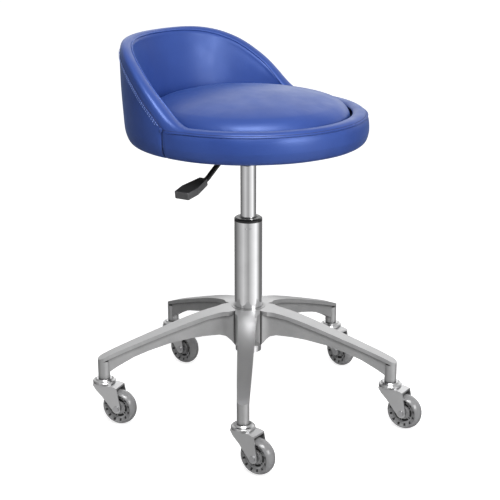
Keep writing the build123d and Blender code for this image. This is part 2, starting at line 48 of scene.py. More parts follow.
# ------------------------------------------------------------------ camera
CAMERA_AT = (-1.8988, -1.1444, 0.9840)
CAMERA_PITCH = 17.24      # degrees below the horizon
CAMERA_TURN = 59.0        # degrees, clockwise from +Y
cam_data = bpy.data.cameras.new("camera")
cam_data.lens = 93.6
cam_data.sensor_width = 36.0
camera = bpy.data.objects.new("camera", cam_data)
camera.location = CAMERA_AT
camera.rotation_euler = (math.radians(90 - CAMERA_PITCH), 0, math.radians(-CAMERA_TURN))
scene.collection.objects.link(camera)
scene.camera = camera
scene.view_settings.view_transform = "Standard"
scene.view_settings.look = "None"


# ------------------------------------------------------------------ materials
def fill_ramp(ramp, stops):
    """Give a colour ramp its (place, colour) stops; a single number is a grey."""
    elements = ramp.color_ramp.elements
    for index, (place, color) in enumerate(stops):
        if index >= 2:
            elements.new(place)
        elements[index].position = place
        rgb = color if isinstance(color, tuple) else (color,) * 3
        elements[index].color = (*rgb, 1.0)


class Mat:
    """A node material on one Principled shader, with short helpers for its texture nodes."""

    def __init__(self, name, color, rough, metal=0.0, **constants):
        self.mat = bpy.data.materials.new(name)
        self.mat.use_nodes = True
        self.tree = self.mat.node_tree
        self.shader = self.tree.nodes["Principled BSDF"]
        self.set("Base Color", (*color, 1.0))
        self.set("Roughness", rough)
        self.set("Metallic", metal)
        for key, value in constants.items():
            self.set(key.replace("_", " "), value)
        self.coords = self.add("ShaderNodeTexCoord").outputs["Object"]

    def set(self, socket, value):
        self.shader.inputs[socket].default_value = value

    def add(self, kind, **settings):
        node = self.tree.nodes.new(kind)
        for key, value in settings.items():
            setattr(node, key, value)
        return node

    def link(self, a, b):
        self.tree.links.new(a, b)

    def noise(self, scale, detail=3.0, stretch=(1, 1, 1)):
        """Noise in the object's own metres."""
        mapping = self.add("ShaderNodeMapping")
        mapping.inputs["Scale"].default_value = stretch
        self.link(self.coords, mapping.inputs["Vector"])
        tex = self.add("ShaderNodeTexNoise")
        tex.inputs["Scale"].default_value = scale
        tex.inputs["Detail"].default_value = detail
        self.link(mapping.outputs["Vector"], tex.inputs["Vector"])
        return tex.outputs["Fac"]

    def cells(self, scale):
        tex = self.add("ShaderNodeTexVoronoi")
        tex.inputs["Scale"].default_value = scale
        self.link(self.coords, tex.inputs["Vector"])
        return tex.outputs["Distance"]

    def ramp(self, source, stops, socket=None):
        """Map a factor through colour stops, to a socket of the shader if one is named."""
        node = self.add("ShaderNodeValToRGB")
        fill_ramp(node, stops)
        self.link(source, node.inputs["Fac"])
        if socket:
            self.link(node.outputs["Color"], self.shader.inputs[socket])
        return node.outputs["Color"]

    def blend(self, factor, a, b):
        """Mix two values or outputs by a factor."""
        node = self.add("ShaderNodeMix", data_type="RGBA")
        self.link(factor, node.inputs["Factor"])
        for name, source in (("A", a), ("B", b)):
            socket = [s for s in node.inputs if s.name == name and s.type == "RGBA"][0]
            if isinstance(source, tuple):
                socket.default_value = (*source, 1.0)
            else:
                self.link(source, socket)
        return [s for s in node.outputs if s.type == "RGBA"][0]

    def bump(self, height, strength, distance=0.0002):
        node = self.add("ShaderNodeBump")
        node.inputs["Strength"].default_value = strength
        node.inputs["Distance"].default_value = distance
        self.link(height, node.inputs["Height"])
        previous = self.shader.inputs["Normal"].links
        if previous:
            self.link(previous[0].from_socket, node.inputs["Normal"])
        self.link(node.outputs["Normal"], self.shader.inputs["Normal"])

    def upward(self):
        """How far the surface faces up, from 0 to 1."""
        geometry = self.add("ShaderNodeNewGeometry")
        split = self.add("ShaderNodeSeparateXYZ")
        self.link(geometry.outputs["Normal"], split.inputs["Vector"])
        return split.outputs["Z"]

    def from_axis(self):
        """Distance from the column's axis, in metres."""
        split = self.add("ShaderNodeSeparateXYZ")
        flat = self.add("ShaderNodeCombineXYZ")
        length = self.add("ShaderNodeVectorMath", operation="LENGTH")
        self.link(self.coords, split.inputs["Vector"])
        self.link(split.outputs["X"], flat.inputs["X"])
        self.link(split.outputs["Y"], flat.inputs["Y"])
        self.link(flat.outputs["Vector"], length.inputs[0])
        return length.outputs["Value"]


def vinyl(name, base, dark, light):
    """Smooth upholstery vinyl with a fine pebbled grain and slightly uneven colour and gloss."""
    m = Mat(name, base, 0.36, 0.12, Specular_IOR_Level=0.62, Specular_Tint=(0.62, 0.76, 1.0, 1.0),
            Sheen_Weight=0.10, Sheen_Tint=(0.20, 0.45, 1.0, 1.0), Sheen_Roughness=0.35)
    m.ramp(m.noise(14, 4), [(0.30, dark), (0.55, base), (0.78, light)], "Base Color")
    m.ramp(m.noise(30, 4), [(0.3, 0.34), (0.7, 0.44)], "Roughness")
    m.bump(m.cells(820), 0.10, 0.0002)
    m.bump(m.noise(38, 3), 0.10, 0.0012)
    return m.mat


def metal(name, color, rough, grain=0.0, scale=220, stretch=(1, 1, 1), spread=0.04, **more):
    """Metal with a slightly uneven polish, and a bump grain where it is cast or brushed."""
    m = Mat(name, color, rough, 1.0, **more)
    m.ramp(m.noise(scale, 5, stretch), [(0.3, rough - spread), (0.7, rough + spread)], "Roughness")
    tint = tuple(c * 0.93 for c in color)
    m.ramp(m.noise(26, 4), [(0.35, tint), (0.65, color)], "Base Color")
    if grain:
        m.bump(m.noise(scale * 4, 3, stretch), grain, 0.0001)
    return m.mat


def plastic(name, color, rough, grain=0.12, scale=1400, **more):
    """Moulded plastic or rubber with a spark-eroded surface."""
    m = Mat(name, color, rough, **more)
    lighter = tuple(min(1.0, c * 1.25 + 0.002) for c in color)
    m.ramp(m.noise(40, 4), [(0.3, color), (0.7, lighter)], "Base Color")
    m.ramp(m.noise(90, 3), [(0.3, rough - 0.05), (0.7, rough + 0.06)], "Roughness")
    m.bump(m.noise(scale, 2), grain, 0.0002)
    return m.mat


def cast_alloy():
    """Aluminium casting: polished top faces, satin cast sides, and painted shade that darkens its corners and
    recesses.
    """
    top_color, corner_shade_color = (0.45, 0.45, 0.453), (0.10, 0.10, 0.10)
    m = Mat("polished_alloy", (0.80, 0.80, 0.805), 0.26, 0.75)
    up = m.upward()
    polish = m.ramp(m.noise(60, 4), [(0.3, 0.29), (0.7, 0.35)])
    satin = m.ramp(m.noise(300, 4), [(0.3, 0.42), (0.7, 0.52)])
    mask = m.ramp(up, [(0.55, 0.0), (0.80, 1.0)])
    m.link(m.blend(mask, satin, polish), m.shader.inputs["Roughness"])
    shade = m.ramp(m.noise(34, 5), [(0.3, (0.40, 0.40, 0.403)), (0.7, (0.46, 0.46, 0.463))])
    # painted shade: ambient occlusion darkens the base colour to near black in corners and under the flanges
    hollow = m.add("ShaderNodeAmbientOcclusion", samples=8)
    hollow.inputs["Distance"].default_value = 7 * MM
    m.link(m.blend(mask, shade, top_color), hollow.inputs["Color"])
    openness = m.ramp(hollow.outputs["AO"], [(0.35, 0.0), (0.85, 1.0)])
    m.link(m.blend(openness, corner_shade_color, hollow.outputs["Color"]), m.shader.inputs["Base Color"])
    m.bump(m.noise(900, 3), 0.10, 0.0001)
    return m.mat


def collar_plastic():
    """Black moulded plastic; the recessed face inside the collar's rim is coloured a lighter grey."""
    black, inner_grey = (0.012, 0.012, 0.013), (0.10, 0.10, 0.105)
    m = Mat("collar_plastic", black, 0.32)
    inner = m.ramp(m.from_axis(), [(0.0205, 1.0), (0.0215, 0.0)])
    m.link(m.blend(inner, black, inner_grey), m.shader.inputs["Base Color"])
    m.bump(m.noise(1500, 2), 0.10)
    return m.mat


def handle_plastic():
    """Black lever handle; its sides are painted a lighter grey as a highlight, its top stays black."""
    black = (0.014, 0.014, 0.015)
    m = Mat("handle_plastic", black, 0.34, Coat_Weight=0.2)
    top = m.ramp(m.upward(), [(0.45, 0.0), (0.80, 1.0)])
    # painted highlight: faces that do not point up get a lighter grey than the black top
    side = m.ramp(m.noise(60, 4), [(0.3, (0.050, 0.050, 0.052)), (0.7, (0.075, 0.075, 0.078))])
    m.link(m.blend(top, side, black), m.shader.inputs["Base Color"])
    m.bump(m.noise(1500, 2), 0.10)
    return m.mat


def plywood():
    m = Mat("plywood", (0.50, 0.35, 0.20), 0.62)
    grain = m.noise(30, 6, (1, 9, 9))
    m.ramp(grain, [(0.3, (0.36, 0.23, 0.12)), (0.5, (0.52, 0.37, 0.21)), (0.7, (0.62, 0.46, 0.28))],
           "Base Color")
    m.bump(grain, 0.15, 0.0003)
    return m.mat


def dust_cloth():
    m = Mat("dust_cloth", (0.02, 0.02, 0.021), 0.9, Sheen_Weight=0.3)
    m.ramp(m.noise(700, 4), [(0.35, (0.012, 0.012, 0.013)), (0.7, (0.035, 0.035, 0.036))], "Base Color")
    m.bump(m.cells(600), 0.35, 0.0003)
    return m.mat


def tyre_urethane():
    """Grey see-through polyurethane: a smoky body with a wet gloss."""
    m = Mat("tyre_urethane", (0.26, 0.26, 0.265), 0.20, IOR=1.47, Transmission_Weight=0.25,
            Coat_Weight=0.2, Coat_Roughness=0.15)
    m.ramp(m.noise(25, 3), [(0.3, (0.24, 0.24, 0.245)), (0.7, (0.30, 0.30, 0.305))], "Base Color")
    m.ramp(m.noise(60, 3), [(0.3, 0.17), (0.7, 0.24)], "Roughness")
    m.bump(m.noise(60, 2), 0.02)
    return m.mat


BLUE = (0.024, 0.058, 0.255)
BLUE_DARK = (0.021, 0.051, 0.232)
BLUE_LIGHT = (0.028, 0.066, 0.28)
blue_vinyl = vinyl("blue_vinyl", BLUE, BLUE_DARK, BLUE_LIGHT)
welt_vinyl = vinyl("welt_vinyl", (0.036, 0.080, 0.32), (0.031, 0.072, 0.29), (0.041, 0.088, 0.34))
thread = plastic("blue_thread", (0.17, 0.25, 0.56), 0.5, 0.3, 2600)
# near-black cord colour, painted shade in the gaps of the seams
seam_shade_cord = plastic("seam_shade_cord", (0.010, 0.018, 0.08), 0.6, 0.3, 2600)
chrome = metal("chrome", (0.88, 0.88, 0.89), 0.035, spread=0.015)
fork_metal = metal("fork_metal", (0.66, 0.66, 0.665), 0.32, 0.02, 60, spread=0.012)
cap_chrome = metal("cap_chrome", (0.56, 0.56, 0.565), 0.22, scale=60, spread=0.015)
steel = metal("steel", (0.56, 0.56, 0.57), 0.32, 0.12, 500)
alloy = cast_alloy()
black_paint = plastic("black_paint", (0.012, 0.012, 0.013), 0.30, 0.10, 900, Coat_Weight=0.3)
rod_paint = plastic("rod_paint", (0.010, 0.010, 0.011), 0.24, 0.04, 900, Coat_Weight=0.4)
black_plastic = plastic("black_plastic", (0.022, 0.022, 0.024), 0.38, 0.25, 1500)
core_plastic = plastic("core_plastic", (0.24, 0.24, 0.244), 0.34, 0.06, 1200)
rubber = plastic("rubber", (0.012, 0.012, 0.012), 0.7, 0.3, 900)
SLOT_MATERIALS = {
    "blue_vinyl": blue_vinyl, "plywood": plywood(), "black_cloth": dust_cloth(),
    "black_steel": black_paint, "black_rod": rod_paint, "black_plastic": black_plastic,
    "chrome": chrome, "fork_chrome": fork_metal, "steel": steel, "rubber": rubber,
    "polished_alloy": alloy, "grey_plastic": core_plastic, "grey_tyre": tyre_urethane(),
}
for part in frame["record"]["subparts"]:
    for material_slot in nodes[part["node"]].material_slots:
        material_slot.material = SLOT_MATERIALS[part["material_slot"]]
for material_slot in nodes["guide_bush"].material_slots:
    material_slot.material = collar_plastic()
for material_slot in nodes["caster_caps"].material_slots:
    material_slot.material = cap_chrome
for material_slot in nodes["lever_handle"].material_slots:
    material_slot.material = handle_plastic()


# ------------------------------------------------------------------ mesh helpers
def smooth(x):
    """Smooth step from 0 to 1."""
    x = min(1.0, max(0.0, x))
    return x * x * (3 - 2 * x)


def mix(a, b, share):
    return a + (b - a) * share


def curve_at(points, x):
    """Value of a smooth curve through (x, y) points."""
    if x <= points[0][0]:
        return points[0][1]
    if x >= points[-1][0]:
        return points[-1][1]
    i = max(k for k in range(len(points) - 1) if points[k][0] <= x)
    before, after = points[max(i - 1, 0)], points[min(i + 2, len(points) - 1)]
    (x0, y0), (x1, y1) = points[i], points[i + 1]
    span = x1 - x0
    m0 = (y1 - before[1]) / (x1 - before[0]) * span
    m1 = (after[1] - y0) / (after[0] - x0) * span
    t = (x - x0) / span
    return ((2 * t ** 3 - 3 * t ** 2 + 1) * y0 + (t ** 3 - 2 * t ** 2 + t) * m0
            + (3 * t ** 2 - 2 * t ** 3) * y1 + (t ** 3 - t ** 2) * m1)


def make(name, mesh_bm, material, body="seat"):
    """Turn a bmesh into a smooth-shaded piece that rides on a body."""
    mesh = bpy.data.meshes.new(name)
    bmesh.ops.recalc_face_normals(mesh_bm, faces=mesh_bm.faces)
    mesh_bm.to_mesh(mesh)
    mesh_bm.free()
    for polygon in mesh.polygons:
        polygon.use_smooth = True
    obj = bpy.data.objects.new(name, mesh)
    scene.collection.objects.link(obj)
    mesh.materials.append(material)
    if body:
        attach(obj, body)
    return obj


def apply_modifiers(obj):
    """Replace an object's mesh by its evaluated mesh."""
    depsgraph = bpy.context.evaluated_depsgraph_get()
    final = bpy.data.meshes.new_from_object(obj.evaluated_get(depsgraph))
    obj.modifiers.clear()
    obj.data = final
    for polygon in final.polygons:
        polygon.use_smooth = True


def subdivide(obj, levels=1):
    modifier = obj.modifiers.new("subdivide", "SUBSURF")
    modifier.levels = levels
    apply_modifiers(obj)


def ring_place(radius, angle, height):
    """Point at an angle in degrees from the middle of the back, sizes in mm."""
    a = math.radians(angle)
    return Vector((-radius * math.sin(a), radius * math.cos(a), height)) * MM


def shell(name, angles, section, thickness=4.0, closed=False):
    """Padded panel: rows of (radius, height) points swept round the seat, thickened inward."""
    bm = bmesh.new()
    rows = [[bm.verts.new(ring_place(r, a, z)) for r, z in section(a)] for a in angles]
    pairs = list(zip(rows, rows[1:]))
    if closed:
        pairs.append((rows[-1], rows[0]))
    for one, two in pairs:
        for k in range(len(one) - 1):
            bm.faces.new((one[k], two[k], two[k + 1], one[k + 1]))
    obj = make(name, bm, blue_vinyl)
    thick = obj.modifiers.new("thick", "SOLIDIFY")
    thick.thickness = thickness * MM
    thick.offset = -1.0
    thick.use_even_offset = False
    apply_modifiers(obj)
    return obj


UP = Vector((0, 0, 1))
CORD_TIP = 0.45           # a cord's radius at its ends, as a share of the rest


def sideways(axis):
    """A direction square to an axis, level unless the axis is upright."""
    side = axis.cross(UP)
    return side.normalized() if side.length > 1e-4 else axis.cross(Vector((1, 0, 0))).normalized()


def round_ring(bm, centre, side, up, radius, count):
    """Ring of count points about a centre, of that radius in mm."""
    ring = []
    for k in range(count):
        a = 2 * math.pi * k / count
        spoke = side * math.cos(a) + up * math.sin(a)
        ring.append(bm.verts.new(centre + spoke * radius * MM))
    return ring


def tube(bm, rings):
    """Faces of a bar through rings of points, with closed ends."""
    count = len(rings[0])
    for one, two in zip(rings, rings[1:]):
        for k in range(count):
            n = (k + 1) % count
            bm.faces.new((one[k], one[n], two[n], two[k]))
    bm.faces.new(rings[0][::-1])
    bm.faces.new(rings[-1])


def cord_piece(name, points, radius, material, sides=8):
    """Round cord of that radius in mm along points in metres, with closed ends."""
    bm = bmesh.new()
    rings = []
    for i, p in enumerate(points):
        ahead = points[min(i + 1, len(points) - 1)]
        behind = points[max(i - 1, 0)]
        along = (ahead - behind).normalized()
        side = sideways(along)
        taper = CORD_TIP if i in (0, len(points) - 1) else 1.0
        rings.append(round_ring(bm, p, side, side.cross(along), radius * taper, sides))
    tube(bm, rings)
    return make(name, bm, material)


# ------------------------------------------------------------------ upholstery shape, in mm
RIM = ((2, 551), (16, 556), (30, 565.5), (42, 576.5), (58, 592.5), (75, 608), (100, 628.5), (119, 642.5),
       (136, 652.5), (155, 661.5), (178, 668.5), (200, 671), (225, 671.5))
SEAT_LOW = 497.5
RING_R, RING_CROWN_R, RING_INNER_R = 209.0, 195.0, 179.4
BACK_LOW_R, BACK_TOP_R = 213.5, 220.0
INNER_LOW_R, INNER_TOP_R = 180.0, 197.0
LEAN_LOW, LEAN_HIGH = 533.0, 671.0    # heights between which the back leans outward
CREST_R = 208             # where the roll's crest height is measured
BACK_END = 79.0           # degrees from the middle of the back to the back cover's side seams
BLEND_FROM, BLEND_TO = 66, 86         # degrees over which the back turns into the ring
BACK_CAP, RING_CAP_OUT, RING_CAP_IN = 12.5, 26.0, 6.0     # drops from the crest to the roll's sides
SHOULDER_IN = 1.6         # how far the roll's side lies in from the back's outer wall
SHOULDER_SLOPE = 0.25     # how fast the wall comes out below it, per mm down
SIDE_POWER, TOP_POWER = 0.85, 0.92    # roundness of the roll's section
WALL_MARGIN = 3.0         # how far below the roll its wall stops
RING_SEAM_Z = 547.0       # height of the border's outer seam on the ring
SEAM_DROPS = ((35, 12.5), (50, 17.0), (65, 21.0), (79, 24.3))   # below the back's crest, by angle
RING_INNER_SEAM = 12.0    # its inner seam, degrees up from the roll's inside, on the ring
BACK_INNER_SEAM = 46.0    # the same on the back
TUCK, DIVE = 1.0, 3.2     # how deep a cover dips at a seam, and how deep its hidden edge lies
# where the outside cover turns under the seat: radius on the ring, on the back, and height above SEAT_LOW
UNDER_EDGE = ((189.2, 189.2, 0.2), (194, 194, 0.0), (198, 198, 0.3), (202.5, 203, 2.2), (205.8, 207, 6),
              (208.0, 210.7, 14))
WALL_RING, WALL_BACK = 20, 26         # where the outer wall starts, above SEAT_LOW
WALL_ROWS, WALL_PUFF = 9, 1.3
BORDER_STEPS, BORDER_PUFF, BORDER_SINK = 12, 0.9, 0.1
INNER_FOOT = 516                      # the inside cover's lower edge, behind the cushion
INNER_ROWS, INNER_PUFF = 10, 3.0


def backness(angle):
    """1 on the back rest, 0 on the ring, smooth between."""
    return 1 - smooth((abs(angle) - BLEND_FROM) / (BLEND_TO - BLEND_FROM))


def rim_height(radius, angle):
    """Height of the roll's crest plane above a point."""
    return curve_at(RIM, radius * math.cos(math.radians(angle)))


def outer_r(z, share):
    lean = max(0.0, (z - LEAN_LOW) / (LEAN_HIGH - LEAN_LOW))
    return mix(RING_R, BACK_LOW_R + (BACK_TOP_R - BACK_LOW_R) * lean, share)


def inner_r(z, share):
    lean = max(0.0, (z - LEAN_LOW) / (LEAN_HIGH - LEAN_LOW))
    return mix(RING_INNER_R, INNER_LOW_R + (INNER_TOP_R - INNER_LOW_R) * lean, share)


def cap_frame(angle):
    """Sizes of the roll's cap at an angle: outer, crown and inner radius, and its two drops."""
    share = backness(angle)
    top = rim_height(CREST_R, angle)
    outer = outer_r(top - BACK_CAP, share) - SHOULDER_IN * share
    inner = inner_r(top - BACK_CAP, share)
    crown = mix(RING_CROWN_R, (outer + inner) / 2, share)
    return outer, crown, inner, mix(RING_CAP_OUT, BACK_CAP, share), mix(RING_CAP_IN, BACK_CAP, share)


def cap_point(angle, turn, proud=0.0):
    """Point on the roll. Turn runs from 0 at its outer side, over 90 at the crown, to 180 inside;
    below 0 it counts millimetres down the outer wall."""
    outer, crown, inner, drop_out, drop_in = cap_frame(angle)
    if turn < 0:
        height = rim_height(outer, angle) - drop_out + turn
        wall = outer_r(height, backness(angle))
        return min(wall, outer - turn * SHOULDER_SLOPE) + proud, height
    t = math.radians(turn)
    reach = (outer - crown if turn <= 90 else crown - inner) + proud
    drop = drop_out if turn <= 90 else drop_in
    side = math.copysign(abs(math.cos(t)) ** SIDE_POWER, math.cos(t))
    radius = crown + reach * side
    return radius, rim_height(radius, angle) - drop + (drop + proud) * abs(math.sin(t)) ** TOP_POWER


def outer_seam_turn(angle):
    """Where the border's outer seam runs on the roll, as a turn of cap_point."""
    away = min(abs(angle), 360 - abs(angle))
    target = RING_SEAM_Z
    if away < BACK_END:
        target = rim_height(CREST_R, angle) - curve_at(SEAM_DROPS, away)
    side = cap_point(angle, 0.0)[1]
    if target <= side:
        return target - side
    low, high = 0.0, 88.0
    for _ in range(12):
        middle = (low + high) / 2
        if cap_point(angle, middle)[1] < target:
            low = middle
        else:
            high = middle
    return low


def inner_seam_turn(angle):
    return 180 - mix(RING_INNER_SEAM, BACK_INNER_SEAM, backness(angle))


def tuck_points(angle, turn, depths, proud=0.0):
    """Points that dive from the roll's surface toward its middle, at those depths."""
    outer, crown, inner, drop_out, drop_in = cap_frame(angle)
    radius, height = cap_point(angle, turn, proud)
    if turn < 0:
        return [(radius - d, height) for d in depths]
    to_r, to_z = crown - radius, rim_height(crown, angle) - max(drop_out, drop_in) - height
    size = math.hypot(to_r, to_z)
    return [(radius + to_r / size * d, height + to_z / size * d) for d in depths]


def outer_section(angle):
    """Outside cover from under the seat up to the border's seam."""
    share = backness(angle)
    low = [(mix(ring, back, share), SEAT_LOW + rise) for ring, back, rise in UNDER_EDGE]
    start = SEAT_LOW + mix(WALL_RING, WALL_BACK, share)
    seam_turn = outer_seam_turn(angle)
    wall_turn = min(seam_turn, 0.0) - WALL_MARGIN
    end_r, end_z = cap_point(angle, wall_turn)
    wall = []
    for k in range(WALL_ROWS):
        s = k / (WALL_ROWS - 1)
        z = mix(start, end_z, s)
        puff = WALL_PUFF * math.sin(math.pi * s) * share
        wall.append((outer_r(z, share) + puff, z))
    wall[-1] = (end_r, end_z)
    cap = [cap_point(angle, mix(wall_turn, seam_turn, k / 3)) for k in (1, 2, 3)]
    return low + wall + cap + tuck_points(angle, seam_turn, (TUCK / 2, TUCK, DIVE))


def border_section(angle):
    """The roll that runs over the back's rim and on round the ring's top."""
    first, last = outer_seam_turn(angle), inner_seam_turn(angle)
    points = []
    for k in range(BORDER_STEPS + 1):
        s = k / BORDER_STEPS
        proud = BORDER_PUFF * math.sin(math.pi * s) - BORDER_SINK
        points.append(cap_point(angle, mix(first, last, s), proud))
    return tuck_points(angle, first, (DIVE, TUCK)) + points + tuck_points(angle, last, (TUCK, DIVE))


def inner_section(angle):
    """Inside cover from the welt down behind the cushion."""
    share = backness(angle)
    seam = inner_seam_turn(angle)
    points = tuck_points(angle, seam, (3.0, TUCK, 0.4))
    points += [cap_point(angle, mix(seam, 180, k / 4)) for k in (1, 2, 3, 4)]
    top = points[-1][1]
    for k in range(1, INNER_ROWS + 1):
        s = k / INNER_ROWS
        z = mix(top, INNER_FOOT, s)
        puff = INNER_PUFF * math.sin(math.pi * s) * share
        points.append((inner_r(z, share) - puff, z))
    return points


def span(first, last, step):
    count = max(2, round((last - first) / step))
    return [first + (last - first) * k / count for k in range(count + 1)]


def tucked(section, first, last, depth=1.2, reach=0.9):
    """The same section, dipping inward at both ends of its span so that the end seams show."""
    def shaped(angle):
        near = min(angle - first, last - angle)
        dip = depth * (1 - smooth(near / reach)) ** 2
        return [(r - dip, z) for r, z in section(angle)]
    return shaped


FAINT_SCALE, FAINT = 16, 0.35         # the covers' unevenness: how fine, and its height in mm
PULLS = 9                 # how closely the pulls fan out round a gather


def wrinkle(obj, strength, centres, reach):
    """Soft pulls in the cover round some points, plus a faint unevenness all over."""
    for vertex in obj.data.vertices:
        p = vertex.co
        faint = noise.noise(p * FAINT_SCALE) * FAINT
        pull = 0.0
        for centre in centres:
            away = (p - centre).length
            if away < 3 * reach:
                turn = math.atan2(p.z - centre.z, (p - centre).xy.length + 1e-6)
                pull += math.sin(turn * PULLS + 1.0) * math.exp(-(away / reach) ** 2)
        vertex.co = p + vertex.normal * (faint + pull * strength) * MM


GATHER_REACH = 0.016      # metres; how far the gathers' pulls run into the covers
seam_points = []          # where the back's side seams meet the border
for side in (-1, 1):
    radius, height = cap_point(side * BACK_END, outer_seam_turn(BACK_END))
    seam_points.append(ring_place(radius, side * BACK_END, height))

back_cover = shell("back_outside_cover", span(-BACK_END, BACK_END, 1.4),
                   tucked(outer_section, -BACK_END, BACK_END))
ring_cover = shell("ring_cover", span(BACK_END, 360 - BACK_END, 1.6),
                   tucked(outer_section, BACK_END, 360 - BACK_END))
border = shell("border_roll", span(-180, 178.5, 1.5), border_section, 3.0, closed=True)
inside_cover = shell("back_inside_cover", span(-96, 96, 1.5), inner_section)
for cover, strength in ((back_cover, 0.5), (ring_cover, 0.4), (border, 0.25), (inside_cover, 0.0)):
    wrinkle(cover, strength, seam_points, GATHER_REACH)
    subdivide(cover)
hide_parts("seat_ring")
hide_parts("back_outer_pad")
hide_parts("back_inner_pad")

# ------------------------------------------------------------------ cushion
CUSHION = ((0, 586.5), (30, 585.8), (60, 583.6), (90, 580.0), (116, 575.9), (136, 571.7), (148, 568.6),
           (156, 565.4), (163, 561.6), (168.5, 556.9), (173, 550.8), (176, 543.5), (177.2, 537),
           (176.5, 530), (175.5, 520), (172, 514.0), (165, 513.2), (120, 513.2), (60, 513.2), (0, 513.2))
CLOTH_FRAMES = 20
CLOTH_CAP = 4.0           # mm that a point may rise
HELD_BELOW = 0.545        # metres; the cushion's sides and underside are held below it
FREE_R, HELD_BLEND = 142, 26          # mm; the crown is free inside FREE_R and held from there on


def cushion_mesh():
    bm = bmesh.new()
    count = 96
    rings = []
    for r, z in CUSHION:
        if r == 0:
            rings.append([bm.verts.new((0, 0, z * MM))])
            continue
        rings.append([bm.verts.new(ring_place(r, 360 * k / count, z)) for k in range(count)])
    for one, two in zip(rings, rings[1:]):
        for k in range(count):
            n = (k + 1) % count
            if len(one) == 1:
                bm.faces.new((one[0], two[k], two[n]))
            elif len(two) == 1:
                bm.faces.new((one[k], two[0], one[n]))
            else:
                bm.faces.new((one[k], two[k], two[n], one[n]))
    return bm


def puff_up(obj):
    """Inflate the crown with a short cloth simulation, its sides and underside held."""
    remesh = obj.modifiers.new("remesh", "REMESH")
    remesh.mode = "VOXEL"
    remesh.voxel_size = 5.0 * MM
    apply_modifiers(obj)
    rest = [v.co.copy() for v in obj.data.vertices]
    held = obj.vertex_groups.new(name="held")
    for index, co in enumerate(rest):
        radius = math.hypot(co.x, co.y) / MM
        weight = 1.0 if co.z < HELD_BELOW else smooth((radius - FREE_R) / HELD_BLEND)
        held.add([index], weight, "REPLACE")
    cloth = obj.modifiers.new("cloth", "CLOTH")
    cloth.settings.use_pressure = True
    cloth.settings.uniform_pressure_force = 4.0
    cloth.settings.vertex_group_mass = "held"
    cloth.settings.effector_weights.gravity = 0.0
    cloth.point_cache.frame_start = 1
    cloth.point_cache.frame_end = CLOTH_FRAMES
    for number in range(1, CLOTH_FRAMES + 1):
        scene.frame_set(number)
    apply_modifiers(obj)
    scene.frame_set(1)
    for vertex, start in zip(obj.data.vertices, rest):
        moved = vertex.co - start
        if moved.length > CLOTH_CAP * MM:
            vertex.co = start + moved.normalized() * CLOTH_CAP * MM


cushion = make("cushion", cushion_mesh(), blue_vinyl, body=None)
puff_up(cushion)
for vertex in cushion.data.vertices:
    vertex.co += vertex.normal * noise.noise(vertex.co * 11 + Vector((3, 1, 7))) * 0.7 * MM
subdivide(cushion)
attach(cushion, "seat")
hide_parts("seat_cushion")


# ------------------------------------------------------------------ seams and stitches
def rim_line(turn, first, last, step, lift=0.0, lower=0.0):
    """Points along a seam of the border, in metres."""
    points = []
    for angle in span(first, last, step):
        radius, height = cap_point(angle, turn(angle), lift)
        if lower:
            height -= lower
            radius = outer_r(height, backness(angle)) + lift
        points.append(ring_place(radius, angle, height))
    return points


WELT_R, WELT_END, WELT_LIFT = 1.3, 95, 0.5
SEAM_LINE_R, END_SEAM_R = 0.6, 0.55
SEAM_SINK = 0.7           # how deep the seams' dark cords lie between the covers, as painted shade of the gaps
cord_piece("inner_welt", rim_line(inner_seam_turn, -WELT_END, WELT_END, 1.2, WELT_LIFT), WELT_R,
           welt_vinyl)
# painted shade: a near-black cord sunk into the outer seam's gap all round the roll
cord_piece("outer_seam", rim_line(outer_seam_turn, -180, 180, 1.5, -SEAM_SINK), SEAM_LINE_R,
           seam_shade_cord)


def end_seam_line(side):
    """Points up the back cover's side seam, which turns under the seat at its foot."""
    steps, foot, under, inset = 15, 16, 9.0, 1.6
    upright_z, share, flare = 530, 0.2, 12
    top_r, top_z = cap_point(side * BACK_END, outer_seam_turn(BACK_END))
    points = []
    for k in range(steps + 1):
        z = mix(SEAT_LOW + 2, top_z, k / steps)
        low = smooth((SEAT_LOW + foot - z) / foot)
        r = outer_r(min(z, upright_z), share) - inset - under * low ** 2
        points.append(ring_place(min(r, top_r + flare), side * BACK_END, z))
    return points


# painted shade: near-black cords sunk into the back cover's side seams
for side, word in ((-1, "left"), (1, "right")):
    cord_piece(f"end_seam_{word}", end_seam_line(side), END_SEAM_R, seam_shade_cord)


STITCH_SIDES = 6
STITCH_ARCH = ((0.0, 0.35, -0.3), (0.18, 0.9, 0.35), (0.5, 1.0, 0.6), (0.82, 0.9, 0.35),
               (1.0, 0.35, -0.3))     # place along a stitch, its thickness there and its height


def stitch(bm, start, end, outward, thick=0.52):
    """One raised stitch between two points, as a small rounded bar of that radius in mm."""
    along = end - start
    side = along.cross(outward).normalized()
    rings = []
    for share, size, height in STITCH_ARCH:
        centre = start + along * share + outward * height * thick * MM
        rings.append(round_ring(bm, centre, side, outward, thick * size, STITCH_SIDES))
    tube(bm, rings)


def outward_of(point):
    return Vector((point.x, point.y, 0)).normalized()


def stitch_row(name, points, pitch=5.2, length=3.4):
    """Stitches of even pitch in mm along a line."""
    bm = bmesh.new()
    carried = 0.0
    for a, b in zip(points, points[1:]):
        run = (b - a).length / MM
        place = -carried
        while place + pitch <= run + 1e-6:
            place += pitch
            centre = a.lerp(b, place / run)
            half = (b - a).normalized() * length / 2 * MM
            stitch(bm, centre - half, centre + half, outward_of(centre))
        carried = run - place
    return make(name, bm, thread)


# each row's name, distance below the seam, distance from the side seams in degrees, and lift
for name, below, margin, lift in (("upper_stitches", 2.8, 1.5, 0.3), ("lower_stitches", 7.2, 3, 0.5)):
    stitch_row(name, rim_line(outer_seam_turn, -BACK_END + margin, BACK_END - margin, 0.5, lift, below))

TACK_ARMS, TACK_ARM, TACK_THICK, TACK_LIFT = 7, 4.2, 0.6, 0.7
TACK_TURN = 0.2           # radians, so that no arm lies level


